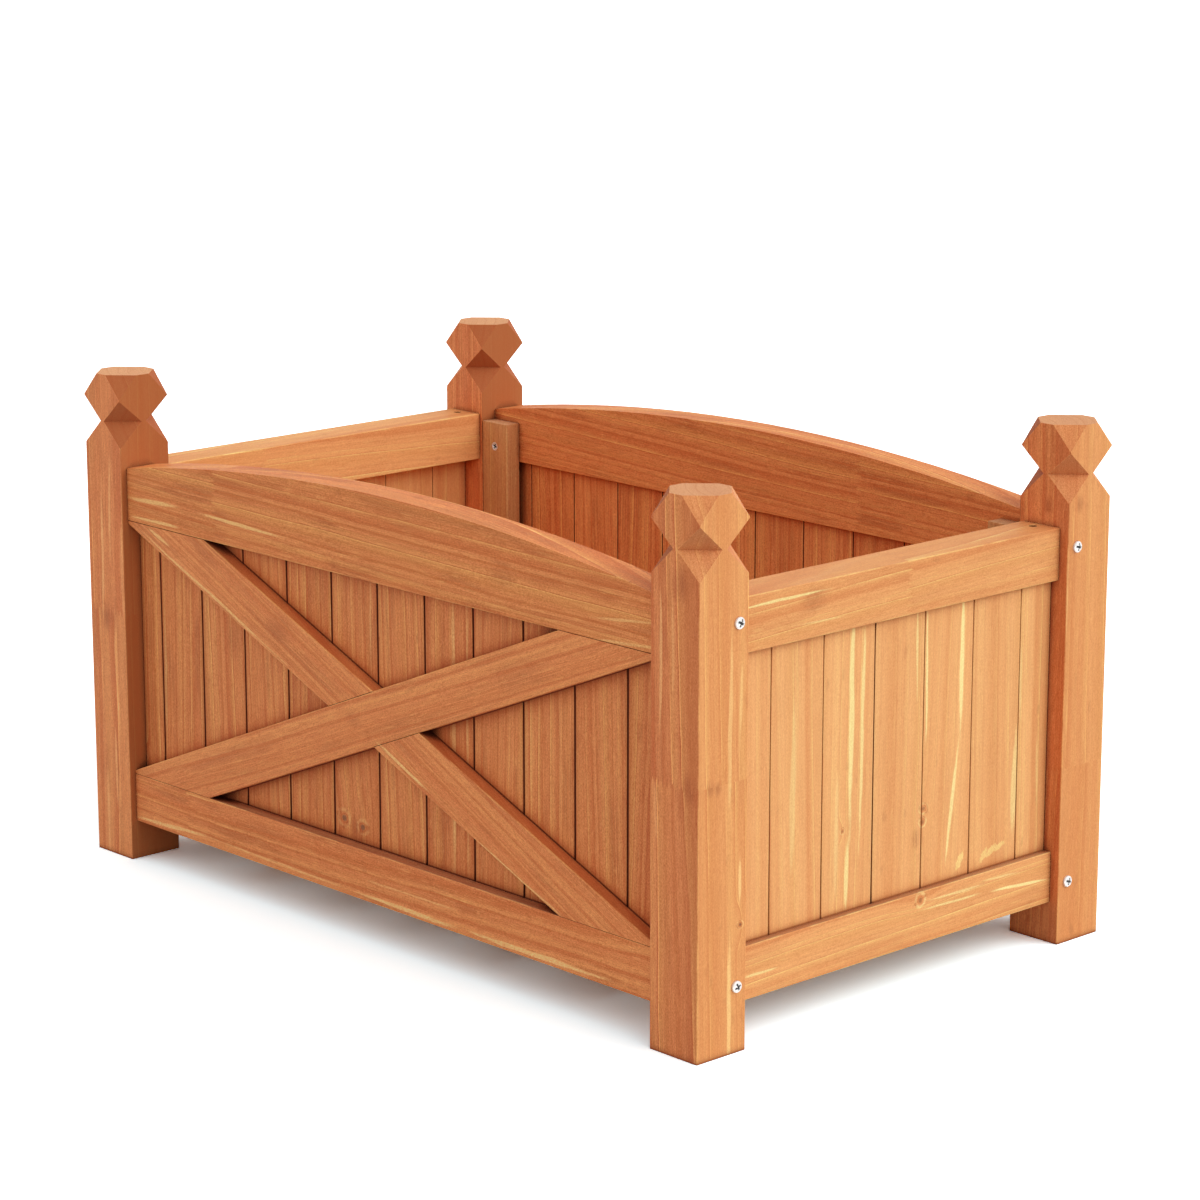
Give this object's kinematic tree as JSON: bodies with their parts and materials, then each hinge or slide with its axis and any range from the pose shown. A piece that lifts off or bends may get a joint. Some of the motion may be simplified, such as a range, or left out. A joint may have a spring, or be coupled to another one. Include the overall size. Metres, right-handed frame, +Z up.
{
  "type": "raised garden bed",
  "caption": "Rectangular timber raised bed: faceted-finial posts, tongued and grooved boards, crossed braces and an arched top rail on the long sides, slatted floor.",
  "frame": {"origin": "on the ground under the middle of the box", "axes": "+X along the long sides towards the right end, -Y towards the front long side, +Z up"},
  "size_m": [0.676, 0.409, 0.379],
  "materials": {
    "post_wood": "satin honey stain",
    "side_rail_wood": "satin honey stain",
    "end_rail_wood": "satin honey stain",
    "brace_wood": "satin honey stain",
    "side_board_wood": "satin honey stain",
    "end_board_wood": "satin honey stain",
    "inner_wood": "satin honey stain",
    "zinc_screws": "bright zinc"
  },
  "bodies": {
    "root": {"front_left_post": "post_wood", "front_right_post": "post_wood", "back_left_post": "post_wood", "back_right_post": "post_wood", "front_top_rail": "side_rail_wood", "front_bottom_rail": "side_rail_wood", "back_top_rail": "side_rail_wood", "back_bottom_rail": "side_rail_wood", "right_top_rail": "end_rail_wood", "right_bottom_rail": "end_rail_wood", "left_top_rail": "end_rail_wood", "left_bottom_rail": "end_rail_wood", "front_rising_brace": "brace_wood", "front_falling_brace": "brace_wood", "back_rising_brace": "brace_wood", "back_falling_brace": "brace_wood", "front_board_01": "side_board_wood", "front_board_02": "side_board_wood", "front_board_03": "side_board_wood", "front_board_04": "side_board_wood", "front_board_05": "side_board_wood", "front_board_06": "side_board_wood", "front_board_07": "side_board_wood", "front_board_08": "side_board_wood", "front_board_09": "side_board_wood", "front_board_10": "side_board_wood", "front_board_11": "side_board_wood", "front_board_12": "side_board_wood", "back_board_01": "side_board_wood", "back_board_02": "side_board_wood", "back_board_03": "side_board_wood", "back_board_04": "side_board_wood", "back_board_05": "side_board_wood", "back_board_06": "side_board_wood", "back_board_07": "side_board_wood", "back_board_08": "side_board_wood", "back_board_09": "side_board_wood", "back_board_10": "side_board_wood", "back_board_11": "side_board_wood", "back_board_12": "side_board_wood", "right_board_1": "end_board_wood", "right_board_2": "end_board_wood", "right_board_3": "end_board_wood", "right_board_4": "end_board_wood", "right_board_5": "end_board_wood", "right_board_6": "end_board_wood", "right_board_7": "end_board_wood", "left_board_1": "end_board_wood", "left_board_2": "end_board_wood", "left_board_3": "end_board_wood", "left_board_4": "end_board_wood", "left_board_5": "end_board_wood", "left_board_6": "end_board_wood", "left_board_7": "end_board_wood", "side_stiles": "inner_wood", "floor_cleats": "inner_wood", "floor_slats": "inner_wood", "corner_screws": "zinc_screws", "inner_screws": "zinc_screws"}
  },
  "joints": []
}
